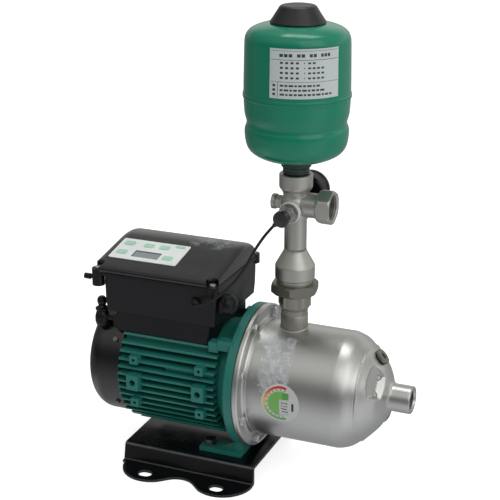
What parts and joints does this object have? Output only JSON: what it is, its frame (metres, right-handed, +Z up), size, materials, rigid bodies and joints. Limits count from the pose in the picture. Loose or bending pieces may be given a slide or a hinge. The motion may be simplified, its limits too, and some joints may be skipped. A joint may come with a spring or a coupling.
{
  "type": "centrifugal water pump",
  "caption": "Horizontal multistage water pump with finned motor, inverter box, steel barrel, riser with check valve and gauge, and a small diaphragm tank on top.",
  "frame": {"origin": "on the floor, at the centre of the four mounting slots of the base plate", "axes": "+X along the shaft towards the suction port, +Y to the back away from the keypad side, +Z up"},
  "size_m": [0.412, 0.228, 0.587],
  "materials": {
    "black_steel": "gloss black powder coat",
    "zinc_bolts": "bright zinc plated",
    "green_paint": "satin green enamel on cast aluminium",
    "laminations": "bare electrical steel",
    "copper_coils": "varnished copper wire",
    "ground_steel": "ground steel",
    "black_plastic": "gloss black moulded plastic",
    "matte_black_plastic": "fine grained black plastic",
    "stainless": "satin stainless steel",
    "cast_stainless": "pickled cast stainless steel",
    "seal_ceramic": "lapped ceramic",
    "rubber_black": "soft black rubber",
    "valve_brass": "machined brass",
    "dial_white": "white enamel",
    "needle_black": "black enamel",
    "clear_lens": "clear window",
    "panel_mint": "printed film",
    "keys_green": "embossed film",
    "display_grey": "liquid crystal window",
    "board_green": "solder resist",
    "tank_green": "gloss green enamel",
    "label_grey": "printed film"
  },
  "bodies": {
    "base": {"base_plate": "black_steel", "foot_bolts": "zinc_bolts", "drive_adapter": "green_paint", "motor_frame": "green_paint", "stator_core": "laminations", "stator_winding": "copper_coils", "bearing_outers": "ground_steel", "rear_shield": "green_paint", "fan_cover": "black_plastic", "fan_cover_screws": "zinc_bolts", "seal_plate": "stainless", "seal_seat": "seal_ceramic", "casing_o_ring": "rubber_black", "pump_casing": "stainless", "flange_bolts": "zinc_bolts", "casing_plugs": "cast_stainless", "stage_housings": "stainless", "union_body": "cast_stainless", "union_nut": "cast_stainless", "check_valve_body": "cast_stainless", "check_spring": "ground_steel", "riser_pipe": "stainless", "five_way_fitting": "cast_stainless", "outlet_socket": "cast_stainless", "port_cap": "cast_stainless", "sensor_body": "stainless", "sensor_cap": "matte_black_plastic", "sensor_cable": "rubber_black", "gauge_case": "black_plastic", "gauge_dial": "dial_white", "gauge_lens": "clear_lens", "terminal_box": "matte_black_plastic", "inverter_body": "matte_black_plastic", "inverter_lid": "black_plastic", "lid_screws": "zinc_bolts", "keypad_panel": "panel_mint", "keypad_keys": "keys_green", "display_window": "display_grey", "circuit_board": "board_green", "cable_glands": "matte_black_plastic", "cable_grommet": "rubber_black", "tank_lower_shell": "tank_green", "tank_upper_shell": "tank_green", "tank_diaphragm": "rubber_black", "air_valve": "valve_brass", "valve_cap": "matte_black_plastic", "tank_label": "label_grey", "casing_sticker": "label_grey"},
    "rotor": {"rotor_core": "laminations", "shaft": "ground_steel", "bearing_inners": "ground_steel", "cooling_fan": "matte_black_plastic", "seal_head": "ground_steel", "impeller_1": "stainless", "impeller_2": "stainless", "impeller_3": "stainless", "impeller_nut": "ground_steel"},
    "cages": {"bearing_balls": "ground_steel"},
    "check_disc": {"check_poppet": "valve_brass"},
    "needle": {"gauge_needle": "needle_black"}
  },
  "joints": [
    {"name": "rotor_spin", "type": "hinge", "parent": "base", "child": "rotor", "pos_m": [0.066, 0, 0.12], "axis": [1, 0, 0], "continuous": true},
    {"name": "cage_spin", "type": "hinge", "parent": "base", "child": "cages", "pos_m": [0.066, 0, 0.12], "axis": [1, 0, 0], "continuous": true},
    {"name": "check_lift", "type": "slide", "parent": "base", "child": "check_disc", "axis": [0, 0, 1], "range_m": [0, 0.008], "stiffness_N_per_m": 120, "springref_m": -0.004, "deforming": ["check_spring"]},
    {"name": "gauge_swing", "type": "hinge", "parent": "base", "child": "needle", "pos_m": [0.113, 0.05, 0.355], "axis": [0, -1, 0], "range_deg": [0, 270], "stiffness_Nm_per_rad": 0.00002}
  ],
  "couplings": [
    {"joint": "cage_spin", "follows": "rotor_spin", "ratio": 0.3825}
  ]
}
